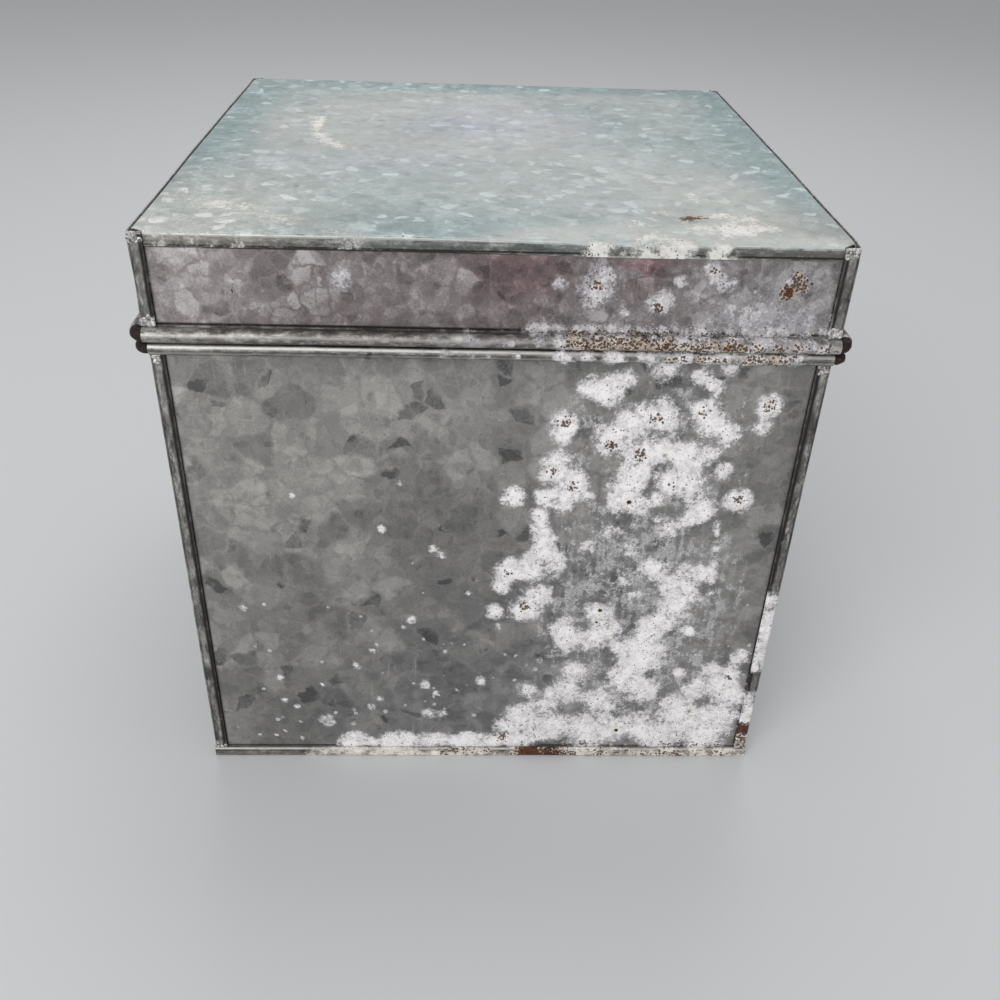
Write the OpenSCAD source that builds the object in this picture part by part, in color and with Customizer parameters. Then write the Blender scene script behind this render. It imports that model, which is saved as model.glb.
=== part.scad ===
/* [Box] */
// Width of the body over its corner seams
body_w = 305; // [240:1:420]
// Depth of the body over its corner seams
body_d = 305; // [240:1:420]
// Height from the table to the top of the lid
overall_h = 308; // [240:1:420]
// Height of the lid above the plane where it meets the body
lid_h = 48.7; // [46:0.1:70]
// How far the lid stands out past the body at the front and at each side
lid_over = 1.2; // [0.5:0.1:3]

/* [Sheet metal] */
// Thickness of the galvanised sheet
sheet_t = 0.6; // [0.5:0.05:0.7]
// Gap left between folded layers
ply_gap = 0.05; // [0.05:0.01:0.08]
// Width of the folded lock seams
seam_w = 6.35; // [6:0.05:9]
// Bend radius of the plain corners, at the middle of the sheet
bend_r = 0.9; // [0.6:0.1:1]
// Height of the flange that turns down round the lid's top sheet
top_flange = 6; // [4:0.5:8]

/* [Wired beads] */
// Diameter of the wires in the body's beads and of the hinge rod
body_wire_d = 4.8; // [4:0.1:5.4]
// Diameter of the wires in the lid's beads
lid_wire_d = 5.6; // [4.8:0.1:6.4]
// How far the sheet is curled round its wire, in degrees
curl = 315; // [290:5:315]

/* [Hinge] */
// Number of knuckles along the back, with one of the body's at each end
knuckles = 9; // [5:2:15]
// Gap between neighbouring knuckles
knuckle_gap = 0.5; // [0.4:0.1:1]

/* [Insulation and liner] */
// Thickness of the insulating boards in the walls and under the floor
wall_board = 19; // [12:1:30]
// Thickness of the insulating board in the lid
lid_board = 25; // [12:1:28]
// Height of the curb round the mouth above the parting plane
curb_h = 12; // [8:1:14]
// How far the curb stands in from the inner face of the shell
curb_inset = 2.2; // [2:0.1:4]
// Height of the plain flanges on the liner's sheets
liner_flange = 12; // [8:1:16]

/* [Hidden] */
$fn = 48;

// Lock seam: four layers one ply apart, counted inward from the outer face
ply = sheet_t + ply_gap;
tip_gap = 0.1;
relief = 0.15;
fold_end = seam_w - ply - sheet_t / 2;
hook_run = fold_end - layer(2) - tip_gap;
corner = layer(0) + bend_r;
notch = corner + 0.5;

// Lid planform: it shares the body's back face and overhangs the other three
lid_w = body_w + 2 * lid_over;
lid_d = body_d + lid_over;
lid_y = -lid_over / 2;

// Beads, stacked above and below the parting plane
bead_gap = 0.3;
parting_z = overall_h - lid_h;
body_curl_r = curl_radius(body_wire_d);
lid_curl_r = curl_radius(lid_wire_d);
body_bead_z = parting_z - body_curl_r - sheet_t / 2;
lid_bead_z = parting_z + bead_gap + lid_curl_r + sheet_t / 2;
wire_inset = 1.5;
wire_bend = 0.7;
wire_joint = 10;
bead_notch = 3.5;

// Corner seams run between the bottom seam and the beads, and up to the lid's top
body_seam_z = [seam_w + relief, body_bead_z - body_curl_r - sheet_t / 2 - relief];
lid_seam_z = [lid_bead_z + lid_curl_r + sheet_t / 2 + relief, overall_h - ply];
lid_web_z = [lid_seam_z[0], overall_h - corner];

// Hinge axis, halfway between the beads and outside the back wall's web
hinge_y = body_d / 2 - layer(3) + body_curl_r;
hinge_z = parting_z + bead_gap / 2;
knuckle_clear = body_curl_r + sheet_t / 2 + 0.55;
knuckle_span = body_w - 2 * ply;
knuckle_l = (knuckle_span - (knuckles - 1) * knuckle_gap) / knuckles;
rod_proud = 0.5;

// Inner faces of the body's shell, half sizes
shell_x = body_w / 2 - sheet_t;
shell_y = body_d / 2 - 3 * ply - sheet_t;

// Inner liner: its outer face, floor and rim
liner_x = shell_x - wall_board - 2 * ply_gap;
liner_y = shell_y - wall_board - 2 * ply_gap;
liner_r = 1.5;
liner_gap = 0.45;
floor_z = ply + wall_board + ply_gap;
curb_z = parting_z + curb_h;
frame_leg = 16;
frame_ledge = 1.5;

// Solder tacks: two layers of one uneven outline, the upper one smaller
solder_h = 0.25;
solder_top_h = 0.15;
solder_top_scale = 0.7;
solder_outline = [
    [-2.5, -0.6], [-1.8, -2.2], [-0.1, -2.8], [1.9, -2.2], [2.6, -0.4],
    [2.2, 1.7], [0.8, 2.5], [-0.8, 3.0], [-2.1, 1.8]
];

// Middle of a layer of the lock seam, measured in from the outer face
function layer(k) = sheet_t / 2 + k * ply;

// Radius of a curl round a wire, at the middle of the sheet
function curl_radius(wire_d) = wire_d / 2 + ply_gap + sheet_t / 2;

// Path of a sheet that wraps both corners of a face and is hemmed for the lock seam
function wrap_path(across, side) = [
    [hook_run, side * 180, ply],
    [fold_end - corner, side * 90, bend_r],
    [across - 2 * corner, side * 90, bend_r],
    [fold_end - corner, side * 180, ply],
    [hook_run, 0, 0]
];

// Path of a sheet with a plain flange at each end
function flange_path(across, lip, side) = [
    [lip - corner, side * 90, bend_r],
    [across - 2 * corner, side * 90, bend_r],
    [lip - corner, 0, 0]
];

// Section of a bend: a piece of a ring that starts at the origin heading along +X
module bend(turn, r) {
    side = sign(turn);
    steps = 8;
    reach = 3 * (r + sheet_t);
    rim = [for (k = [0:steps]) let (a = turn * k / steps - 90 * side) reach * [cos(a), sin(a)]];
    translate([0, side * r])
        intersection() {
            difference() {
                circle(r + sheet_t / 2);
                circle(r - sheet_t / 2);
            }
            polygon(concat([[0, 0]], rim));
        }
}

// Section of a folded sheet: each step is a straight run, a turn in degrees and its radius
module folded(path, i = 0) {
    if (i < len(path)) {
        run = path[i][0];
        turn = path[i][1];
        r = path[i][2];
        translate([0, -sheet_t / 2]) square([run, sheet_t]);
        translate([run, 0])
            if (turn != 0) {
                bend(turn, r);
                translate([r * sin(abs(turn)), sign(turn) * r * (1 - cos(turn))])
                    rotate(turn) folded(path, i + 1);
            }
    }
}

// Runs a section along X: it is drawn as (y, z)
module along_x(x0, x1) {
    translate([x0, 0, 0]) rotate([90, 0, 90]) linear_extrude(x1 - x0) children();
}

// Runs a section along Y: it is drawn as (x, z)
module along_y(y0, y1) {
    translate([0, y1, 0]) rotate([90, 0, 0]) linear_extrude(y1 - y0) children();
}

// Block between two opposite corners
module block(low, high) {
    translate(low) cube(high - low);
}

// Front or back wall with a hook down each side, its seams' outer face on y = 0
module hooked_wall(across, z) {
    translate([-across / 2 + fold_end - tip_gap, layer(1), z[0]])
        linear_extrude(z[1] - z[0])
            rotate(180)
                folded([[hook_run, -180, ply], [across - 2 * layer(2), -180, ply], [hook_run, 0, 0]]);
}

// Side wall that wraps the front and back corners, its outer face on x = 0
module wrapping_wall(across, z) {
    translate([layer(2) + tip_gap, -across / 2 + layer(2), z[0]])
        linear_extrude(z[1] - z[0]) folded(wrap_path(across, -1));
}

// Straight strip of sheet that ends in a curl: up = 1 rises from z0, up = -1 hangs from it
module curled_edge(inset, z0, bead_z, up, r) {
    translate([inset, z0]) rotate(90 * up) folded([[abs(bead_z - z0), up * curl, r]]);
}

// Tray of bent sheet, its web on z = 0 and its plain flanges upward
module tray(across_x, across_y, lip) {
    along_x(-across_x / 2 + notch, across_x / 2 - notch)
        translate([-across_y / 2 + layer(0), lip]) rotate(-90) folded(flange_path(across_y, lip, 1));
    along_y(-across_y / 2 + notch, across_y / 2 - notch)
        translate([-across_x / 2 + layer(0), lip]) rotate(-90) folded(flange_path(across_x, lip, 1));
}

// Stretches along X that belong to the body's knuckles (first = 0) or to the lid's (first = 1)
module for_knuckles(first) {
    for (k = [first:2:knuckles - 1]) {
        x0 = -knuckle_span / 2 + k * (knuckle_l + knuckle_gap);
        along_x(x0, x0 + knuckle_l) children();
    }
}

// Body end wall without its top edge: corner hooks and the foot hooked into the bottom pan
module body_end_wall() {
    hooked_wall(body_w, body_seam_z);
    along_x(-body_w / 2 + ply, body_w / 2 - ply)
        translate([layer(3), body_seam_z[0]])
            rotate(-90) folded([[body_seam_z[0] - layer(2), -180, ply], [hook_run, 0, 0]]);
}

// Wired bead of a left wall from front to back, cut short in front where the wire turns the corner
module side_bead(across, seam_z, bead_z, up, r) {
    along_y(-across / 2 + bead_notch, across / 2 - corner) curled_edge(layer(0), seam_z, bead_z, up, r);
}

// Left wall of the body: corner wraps, a plain foot inside the pan's flange and a wired bead
module body_side_wall() {
    foot_y = body_d / 2 - 3 * ply;
    wrapping_wall(body_d, body_seam_z);
    block([0, -foot_y, corner], [sheet_t, foot_y, body_seam_z[0]]);
    side_bead(body_d, body_seam_z[1], body_bead_z, 1, body_curl_r);
}

// Left skirt of the lid: corner wraps, a raw top edge beside the top sheet and a wired bead
module lid_side_wall() {
    edge_y = lid_d / 2 - 4 * ply;
    wrapping_wall(lid_d, lid_seam_z);
    block([0, -edge_y, lid_seam_z[1]], [sheet_t, edge_y, overall_h]);
    side_bead(lid_d, lid_seam_z[0], lid_bead_z, -1, lid_curl_r);
}

// How far out the middle of a side bead's wire lies
function side_wire_x(across_x, r) = across_x / 2 - layer(0) + r;

// Front wire of a rim: bent round both corners, its ends inside the side beads
module bent_wire(across_x, across_y, r, d) {
    side_x = side_wire_x(across_x, r);
    front_y = layer(3) - across_y / 2 - r;
    turn_r = d / 2 + wire_bend;
    turn_x = side_x - turn_r;
    turn_y = front_y + turn_r;
    joint_y = wire_joint - across_y / 2;
    translate([-turn_x, front_y, 0]) rotate([0, 90, 0]) cylinder(h = 2 * turn_x, d = d);
    for (mx = [0, 1])
        mirror([mx, 0, 0]) {
            translate([turn_x, turn_y, 0])
                rotate(-90) rotate_extrude(angle = 90) translate([turn_r, 0]) circle(d = d);
            translate([side_x, joint_y, 0]) rotate([90, 0, 0]) cylinder(h = joint_y - turn_y, d = d);
        }
}

// Side wire of a rim: it butts against the front wire and ends inside the bead's back end
module side_wire(x, across_y, d) {
    back_y = across_y / 2 - corner - wire_inset;
    joint_y = wire_joint + 2 * ply_gap - across_y / 2;
    translate([x, back_y, 0]) rotate([90, 0, 0]) cylinder(h = back_y - joint_y, d = d);
}

// One side of a mitred frame with outer half sizes a and b; the section is drawn from y = 0 inward
module mitred_side(a, b, reach) {
    intersection() {
        along_x(-a, a) translate([-b, 0]) children();
        linear_extrude(overall_h)
            polygon([[-a, -b], [a, -b], [a - reach, reach - b], [reach - a, reach - b]]);
    }
}

// Wall board between the floor board and the curb, cut back where the throat frame passes it
module wall_insulation(low, high) {
    cut = curb_inset + 2 * ply;
    cut_z = parting_z - frame_leg - ply;
    block([low[0], low[1], floor_z], [high[0], high[1], cut_z]);
    block(
        [max(low[0], cut - shell_x), max(low[1], cut - shell_y), cut_z],
        [min(high[0], shell_x - cut), min(high[1], shell_y - cut), curb_z - ply - ply_gap]
    );
}

// Flat blob of solder on a seam's outer face, which is y = 0
module solder_tack() {
    rotate([90, 0, 0]) {
        linear_extrude(solder_h) polygon(solder_outline);
        linear_extrude(solder_h + solder_top_h) polygon(solder_outline * solder_top_scale);
    }
}

module front_panel() {
    color("lightslategray") translate([0, -body_d / 2, 0]) {
        body_end_wall();
        along_x(-body_w / 2 + ply, body_w / 2 - ply)
            curled_edge(layer(3), body_seam_z[1], body_bead_z, 1, body_curl_r);
    }
}

module back_panel() {
    gap_z = hinge_z - knuckle_clear;
    color("lightslategray") rotate(180) translate([0, -body_d / 2, 0]) {
        body_end_wall();
        block([-knuckle_span / 2, 3 * ply, body_seam_z[1]], [knuckle_span / 2, 3 * ply + sheet_t, gap_z]);
        for_knuckles(0) curled_edge(layer(3), gap_z, hinge_z, 1, body_curl_r);
    }
}

module left_side_panel() {
    color("slategray") translate([-body_w / 2, 0, 0]) body_side_wall();
}

module right_side_panel() {
    color("slategray") mirror([1, 0, 0]) translate([-body_w / 2, 0, 0]) body_side_wall();
}

// Bottom pan: hemmed bands lock the front and back walls, plain flanges lap the side walls
module bottom_pan() {
    band_x = body_w / 2 + ply;
    band = [[hook_run, 180, ply], [fold_end - corner, 90, bend_r], [notch - corner, 0, 0]];
    color("gray") {
        for (turn = [0, 180])
            rotate(turn)
                along_x(-band_x, band_x)
                    translate([-body_d / 2 + layer(2), layer(2) + tip_gap]) rotate(90) folded(band);
        along_y(-body_d / 2 + notch, body_d / 2 - notch)
            translate([-band_x + layer(0), seam_w]) rotate(-90) folded(flange_path(2 * band_x, seam_w, 1));
    }
}

module front_rim_wire() {
    color("sienna") translate([0, 0, body_bead_z]) bent_wire(body_w, body_d, body_curl_r, body_wire_d);
}

module left_rim_wire() {
    x = side_wire_x(body_w, body_curl_r);
    color("saddlebrown") translate([0, 0, body_bead_z]) side_wire(-x, body_d, body_wire_d);
}

module right_rim_wire() {
    x = side_wire_x(body_w, body_curl_r);
    color("saddlebrown") translate([0, 0, body_bead_z]) side_wire(x, body_d, body_wire_d);
}

module hinge_rod() {
    l = knuckle_span + 2 * rod_proud;
    color("sienna") translate([-l / 2, hinge_y, hinge_z]) rotate([0, 90, 0]) cylinder(h = l, d = body_wire_d);
}

// Inner liner: one sheet bent round the four walls and closed by a grooved seam behind
module inner_liner() {
    half = hook_run / 2;
    offset_run = (3 * ply - 2 * bend_r * (1 - cos(45))) / sin(45);
    offset_x = 2 * bend_r * sin(45) + offset_run * cos(45);
    start_x = half + ply + 2 * sheet_t;
    side_run = 2 * (liner_y - layer(0) - liner_r);
    front_run = 2 * (liner_x - layer(0) - liner_r);
    path = [
        [hook_run, -180, ply],
        [half + start_x, -45, bend_r],
        [offset_run, 45, bend_r],
        [front_run / 2 - start_x - offset_x, -90, liner_r],
        [side_run, -90, liner_r],
        [front_run, -90, liner_r],
        [side_run, -90, liner_r],
        [front_run / 2 + half, 180, ply],
        [hook_run, 0, 0]
    ];
    color("silver")
        translate([half, liner_y - layer(0) + ply, floor_z])
            linear_extrude(curb_z - corner - floor_z) rotate(180) folded(path);
}

module liner_floor() {
    inset = 2 * ply;
    color("gainsboro") translate([0, 0, floor_z]) tray(2 * liner_x - inset, 2 * liner_y - inset, liner_flange);
}

// Throat frame: a hat section that bridges shell and liner and stands up as the curb
module throat_frame() {
    leg = ply_gap + sheet_t / 2;
    inner = wall_board + 2 * ply_gap + 1.5 * sheet_t + liner_gap;
    ledge_z = parting_z - frame_ledge;
    path = [
        [frame_leg - frame_ledge - bend_r, -90, bend_r],
        [curb_inset - 2 * bend_r, 90, bend_r],
        [curb_z - layer(0) - ledge_z - 2 * bend_r, -90, bend_r],
        [inner - leg - curb_inset - 2 * bend_r, -90, bend_r],
        [liner_flange - corner, 0, 0]
    ];
    color("silver")
        for (k = [0:3]) {
            a = k % 2 == 0 ? shell_x : shell_y;
            b = k % 2 == 0 ? shell_y : shell_x;
            rotate(90 * k)
                mitred_side(a, b, inner + sheet_t)
                    translate([leg, parting_z - frame_leg]) rotate(90) folded(path);
        }
}

module insulation_front() {
    x = shell_x - ply_gap;
    y = shell_y - ply_gap;
    color("burlywood") wall_insulation([-x, -y], [x, wall_board - y]);
}

// The back board is grooved for the liner's seam
module insulation_back() {
    x = shell_x - ply_gap;
    y = shell_y - ply_gap;
    groove_x = seam_w + 1;
    groove_y = 3 * ply + 0.3;
    color("burlywood")
        difference() {
            wall_insulation([-x, y - wall_board], [x, y]);
            block([-groove_x, liner_y - 1, floor_z - 1], [groove_x, liner_y + groove_y, curb_z]);
        }
}

module insulation_left() {
    x = shell_x - ply_gap;
    y = shell_y - 2 * ply_gap - wall_board;
    color("burlywood") wall_insulation([-x, -y], [wall_board - x, y]);
}

module insulation_right() {
    x = shell_x - ply_gap;
    y = shell_y - 2 * ply_gap - wall_board;
    color("burlywood") wall_insulation([x - wall_board, -y], [x, y]);
}

module insulation_floor() {
    x = shell_x - ply_gap;
    y = shell_y - ply_gap;
    color("burlywood") block([-x, -y, ply], [x, y, ply + wall_board]);
}

// Solder at the top and bottom of the four corner seams
module body_solder_tacks() {
    color("whitesmoke")
        for (turn = [0, 180], side = [-1, 1], z = [body_seam_z[0] + seam_w / 2, body_seam_z[1] - seam_w / 2])
            rotate(turn) translate([side * (body_w - seam_w) / 2, -body_d / 2, z]) solder_tack();
}

// Lid top: flanges outside the front and back skirts, inside the side skirts, corners clipped
module lid_top() {
    top_x = lid_w / 2 - seam_w - 0.3;
    side_x = lid_w / 2 - ply;
    side_y = lid_d / 2 - seam_w;
    across_y = lid_d - 4 * ply;
    flat_x = side_x - corner;
    flat_y = across_y / 2 - corner;
    color("lightsteelblue") translate([0, lid_y, overall_h]) {
        along_x(-top_x, top_x)
            translate([-across_y / 2 + layer(0), -top_flange])
                rotate(90) folded(flange_path(across_y, top_flange, -1));
        along_y(-side_y, side_y)
            translate([-side_x + layer(0), -top_flange])
                rotate(90) folded(flange_path(2 * side_x, top_flange, -1));
        translate([0, 0, -sheet_t])
            linear_extrude(sheet_t)
                for (mx = [0, 1], my = [0, 1])
                    mirror([mx, 0]) mirror([0, my])
                        polygon([[0, 0], [flat_x, 0], [flat_x, side_y], [top_x, flat_y], [0, flat_y]]);
    }
}

module lid_front_skirt() {
    color("lightslategray") translate([0, lid_y - lid_d / 2, 0]) {
        hooked_wall(lid_w, lid_web_z);
        along_x(-lid_w / 2 + ply, lid_w / 2 - ply)
            curled_edge(layer(3), lid_seam_z[0], lid_bead_z, -1, lid_curl_r);
    }
}

module lid_back_skirt() {
    gap_z = hinge_z + knuckle_clear;
    edge_x = lid_w / 2 - ply;
    color("lightslategray") rotate(180) translate([0, -lid_d / 2 - lid_y, 0]) {
        hooked_wall(lid_w, lid_web_z);
        block([-edge_x, 3 * ply, gap_z], [edge_x, 3 * ply + sheet_t, lid_seam_z[0]]);
        for_knuckles(1) curled_edge(layer(3), gap_z, hinge_z, -1, body_curl_r);
    }
}

module lid_left_skirt() {
    color("slategray") translate([-lid_w / 2, lid_y, 0]) lid_side_wall();
}

module lid_right_skirt() {
    color("slategray") mirror([1, 0, 0]) translate([-lid_w / 2, lid_y, 0]) lid_side_wall();
}

module lid_front_rim_wire() {
    color("sienna") translate([0, lid_y, lid_bead_z]) bent_wire(lid_w, lid_d, lid_curl_r, lid_wire_d);
}

module lid_left_rim_wire() {
    x = side_wire_x(lid_w, lid_curl_r);
    color("saddlebrown") translate([0, lid_y, lid_bead_z]) side_wire(-x, lid_d, lid_wire_d);
}

module lid_right_rim_wire() {
    x = side_wire_x(lid_w, lid_curl_r);
    color("saddlebrown") translate([0, lid_y, lid_bead_z]) side_wire(x, lid_d, lid_wire_d);
}

module lid_insulation() {
    x = lid_w / 2 - ply - corner;
    y = lid_d / 2 - 4 * ply;
    color("burlywood")
        translate([0, lid_y, 0]) block([-x, -y, overall_h - ply - lid_board], [x, y, overall_h - ply]);
}

// Lid liner: a shallow tray turned over, its flanges against the skirts
module lid_liner() {
    color("silver")
        translate([0, lid_y, overall_h - ply - lid_board - ply_gap])
            rotate([180, 0, 0]) tray(lid_w - 2 * ply, lid_d - 8 * ply, liner_flange);
}

// Solder that fills the clipped corners of the top and tacks the seams above the beads
module lid_solder_tacks() {
    pad_x = [lid_w / 2 - seam_w - 0.1, lid_w / 2 - 0.1];
    pad_y = [lid_d / 2 - 3 * ply, lid_d / 2 - 0.1];
    color("whitesmoke") translate([0, lid_y, 0])
        for (turn = [0, 180], mx = [0, 1])
            rotate(turn) mirror([mx, 0, 0]) {
                block([pad_x[0], pad_y[0], lid_seam_z[1]], [pad_x[1], pad_y[1], overall_h]);
                translate([(lid_w - seam_w) / 2, -lid_d / 2, lid_seam_z[0] + seam_w / 2]) solder_tack();
            }
}

front_panel();
back_panel();
left_side_panel();
right_side_panel();
bottom_pan();
front_rim_wire();
left_rim_wire();
right_rim_wire();
hinge_rod();
inner_liner();
liner_floor();
throat_frame();
insulation_front();
insulation_back();
insulation_left();
insulation_right();
insulation_floor();
body_solder_tacks();
lid_top();
lid_front_skirt();
lid_back_skirt();
lid_left_skirt();
lid_right_skirt();
lid_front_rim_wire();
lid_left_rim_wire();
lid_right_rim_wire();
lid_insulation();
lid_liner();
lid_solder_tacks();
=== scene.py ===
# The weathered looks of a galvanised porch box for milk bottles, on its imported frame
import math
import bmesh
import bpy
import numpy as np
from mathutils import Matrix, Vector


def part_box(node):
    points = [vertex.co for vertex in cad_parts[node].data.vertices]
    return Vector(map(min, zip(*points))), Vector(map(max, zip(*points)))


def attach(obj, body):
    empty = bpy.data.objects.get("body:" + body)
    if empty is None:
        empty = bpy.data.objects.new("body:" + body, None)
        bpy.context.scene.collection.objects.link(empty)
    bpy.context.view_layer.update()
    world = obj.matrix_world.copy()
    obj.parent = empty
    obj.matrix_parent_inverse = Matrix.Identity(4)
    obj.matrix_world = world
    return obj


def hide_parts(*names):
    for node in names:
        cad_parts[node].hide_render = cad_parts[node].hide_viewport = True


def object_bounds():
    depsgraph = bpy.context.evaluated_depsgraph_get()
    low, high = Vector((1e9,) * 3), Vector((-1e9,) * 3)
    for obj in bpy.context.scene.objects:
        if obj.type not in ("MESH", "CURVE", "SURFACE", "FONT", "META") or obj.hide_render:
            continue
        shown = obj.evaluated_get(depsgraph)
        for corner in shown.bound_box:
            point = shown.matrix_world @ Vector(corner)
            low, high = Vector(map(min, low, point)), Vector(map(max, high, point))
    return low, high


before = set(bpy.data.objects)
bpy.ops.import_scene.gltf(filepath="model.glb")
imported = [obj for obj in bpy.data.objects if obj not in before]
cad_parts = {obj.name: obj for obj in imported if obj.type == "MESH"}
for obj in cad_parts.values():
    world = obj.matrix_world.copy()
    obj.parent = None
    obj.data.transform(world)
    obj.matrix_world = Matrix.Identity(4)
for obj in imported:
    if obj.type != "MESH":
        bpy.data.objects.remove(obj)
frameBox = [list(corner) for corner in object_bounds()]
mm = 0.001
axisNumber = {"x": 0, "y": 1, "z": 2}


def fillRamp(ramp, stops):
    while len(ramp.elements) < len(stops):
        ramp.elements.new(1.0)
    for element, (position, colour) in zip(ramp.elements, stops):
        element.position, element.color = position, (*colour, 1)


class Flow:  # a socket that maths can be written on; one without a socket only adds nodes to its tree
    def __init__(self, tree, socket=None):
        self.tree, self.socket = tree, socket

    def add(self, kind, settings={}, inputs={}, out=0):
        node = self.tree.nodes.new(kind)
        for name, value in settings.items():
            if name == "stops":
                fillRamp(node.color_ramp, value)
            else:
                setattr(node, name, value)
        for name, value in inputs.items():
            if isinstance(value, Flow):
                self.tree.links.new(value.socket, node.inputs[name])
            else:
                node.inputs[name].default_value = value
        return Flow(self.tree, node.outputs[out] if len(node.outputs) else None)

    def other(self, name):  # another outlet of the same node
        return Flow(self.tree, self.socket.node.outputs[name])

    def maths(self, operation, *others):
        return self.add("ShaderNodeMath", {"operation": operation}, dict(enumerate((self, *others))))

    def __add__(self, other): return self.maths("ADD", other)
    def __sub__(self, other): return self.maths("SUBTRACT", other)
    def __rsub__(self, other): return self.add("ShaderNodeMath", {"operation": "SUBTRACT"}, {0: other, 1: self})
    def __mul__(self, other): return self.maths("MULTIPLY", other)
    __radd__, __rmul__ = __add__, __mul__

    def vector(self, operation, *others, out=0):
        return self.add("ShaderNodeVectorMath", {"operation": operation}, dict(enumerate((self, *others))), out)

    def scaled(self, factor):
        return self.add("ShaderNodeVectorMath", {"operation": "SCALE"}, {0: self, "Scale": factor})

    def split(self, kind, out=0):  # kind is XYZ or Color
        return self.add("ShaderNodeSeparate" + kind, {}, {0: self}, out)

    def ease(self, low, high):  # 0 below low, 1 above high, smooth between them
        return self.add("ShaderNodeMapRange", {"interpolation_type": "SMOOTHSTEP"},
                        {"Value": self, "From Min": low, "From Max": high})

    def tinted(self, colour, amount, how="MIX"):
        colour = colour if isinstance(colour, Flow) else (*colour, 1)
        return self.add("ShaderNodeMix", {"data_type": "RGBA", "blend_type": how}, {0: amount, 6: self, 7: colour}, 2)

    def ramp(self, *stops):
        return self.add("ShaderNodeValToRGB", {"stops": stops}, {0: self})

    def stretched(self, scale):
        return self.add("ShaderNodeMapping", {}, {"Vector": self, "Scale": scale})

    def noise(self, size, detail=3.0, roughness=0.55, out=0):  # size in mm
        return self.add("ShaderNodeTexNoise", {},
                        {"Vector": self, "Scale": 1000 / size, "Detail": detail, "Roughness": roughness}, out)

    def flicker(self, detail, roughness):  # noise along one number
        return self.add("ShaderNodeTexNoise", {"noise_dimensions": "1D"},
                        {"W": self, "Scale": 1.0, "Detail": detail, "Roughness": roughness})

    def seeded(self, seed, scale, detail, roughness):  # noise that differs with the seed
        return self.add("ShaderNodeTexNoise", {"noise_dimensions": "4D"},
                        {"Vector": self, "W": seed, "Scale": scale, "Detail": detail, "Roughness": roughness})

    def cells(self, size, feature="F1", out="Distance"):  # size in mm
        return self.add("ShaderNodeTexVoronoi", {"feature": feature}, {"Vector": self, "Scale": 1000 / size}, out)

    def bump(self, strength, depth, **more):  # depth in mm
        return self.add("ShaderNodeBump", {}, {"Strength": strength, "Distance": depth * mm, "Height": self, **more})

    def kept(self, name, kind="FLOAT"):  # values that keep() has left on the mesh
        return self.add("GeometryNodeInputNamedAttribute", {"data_type": kind}, {"Name": name})

    def moved(self, offset):  # of geometry
        return self.add("GeometryNodeSetPosition", {}, {"Geometry": self, "Offset": offset})


def newFinish(name):  # the material, and the place on the object that its pattern starts from
    finish = bpy.data.materials.new(name)
    finish.use_nodes = True
    finish.node_tree.nodes.clear()
    return finish, Flow(finish.node_tree).add("ShaderNodeTexCoord", out="Object")


def closeFinish(flow, inputs):
    shader = flow.add("ShaderNodeBsdfPrincipled", {}, inputs)
    flow.add("ShaderNodeOutputMaterial", {}, {"Surface": shader})


# Zinc crystals: cells with soft borders, each with its own tone and tilt; some hold a dark or a pale fan
def spangle(place, size, face):
    stir = place.noise(size * 0.8, 4.0, out="Color").vector("SUBTRACT", (0.5, 0.5, 0.5))
    bent = stir.scaled(size * 0.8 * mm).vector("ADD", place)
    cell = bent.cells(size, out="Color")
    middle = bent.vector("SUBTRACT", cell.other("Position"))
    parts = middle.split("XYZ")
    angle = parts.other(face[1].upper()).maths("ARCTAN2", parts.other(face[0].upper()))
    first = cell.split("Color")  # three dice for each crystal
    second, third = first.other("Green"), first.other("Blue")
    fan = (angle * 2.4 + second * 40).flicker(4.0, 0.65)
    border = bent.cells(size, "DISTANCE_TO_EDGE").ease(0.0, 0.10)
    turn = (angle - second * 2 * math.pi).maths("WRAP", math.pi, -math.pi)
    wide = first * 0.9 + 0.45
    wedge = 1 - turn.maths("ABSOLUTE").ease(wide, wide + 0.12)
    far = middle.vector("LENGTH", out="Value")
    rays = (angle * 6 + second * 90).flicker(3.0, 0.6)
    leaf = wedge * (1 - far.ease(size * 0.66 * mm, size * 0.74 * mm)) * far.ease(0.0, size * 0.4 * mm)
    leaf = leaf * (rays * 1.3 + 0.2) * border
    tone = ((first - 0.5) * 0.30 + (fan - 0.5) * 0.16) * border
    tilt = cell.vector("SUBTRACT", (0.5, 0.5, 0.5))
    return tone, leaf * third.ease(0.74, 0.80), leaf * (1 - third.ease(0.2, 0.28)), tilt


# Lines along seams, for painted shade with dirt in the crevices and for painted highlights: axis, place in mm (x and
# y on both sides), half width, strength, perhaps limits in z
def seamLines(place, lines):
    most = 0.0
    parts = place.split("XYZ")
    for axis, at, width, strength, *limits in lines:
        across = parts.other(axis.upper())
        if axis != "z":
            across = across.maths("ABSOLUTE")
        line = (1 - (across - at * mm).maths("ABSOLUTE").ease(width * 0.15 * mm, width * mm)) * strength
        if limits:
            low, high = limits
            up = parts.other("Z")
            line = line * up.ease((low - 1) * mm, low * mm) * (1 - up.ease(high * mm, (high + 1) * mm))
        most = line.maths("MAXIMUM", most)
    return most


# Colours of stains and wear; the near-black seam colour is also painted shade in the seams, and the pale rubbed
# colour also paints highlight lines
stainAndPaintedLightColours = {
    "soot": (0.55, 0.55, 0.56), "scratch": (0.62, 0.61, 0.60), "speck": (0.07, 0.06, 0.055),
    "grime": (0.030, 0.027, 0.024), "rubbed": (0.60, 0.59, 0.56), "seam": (0.016, 0.013, 0.012),
    "ring": (0.70, 0.62, 0.45), "pit": (0.050, 0.024, 0.014),
    "warm": [(0.35, (0.26, 0.15, 0.085)), (0.5, (0.58, 0.46, 0.34)), (0.66, (0.80, 0.72, 0.62))],
    "rust": [(0.34, (0.016, 0.007, 0.005)), (0.46, (0.075, 0.020, 0.009)), (0.56, (0.19, 0.058, 0.018)),
             (0.68, (0.40, 0.19, 0.075))],
}


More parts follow.
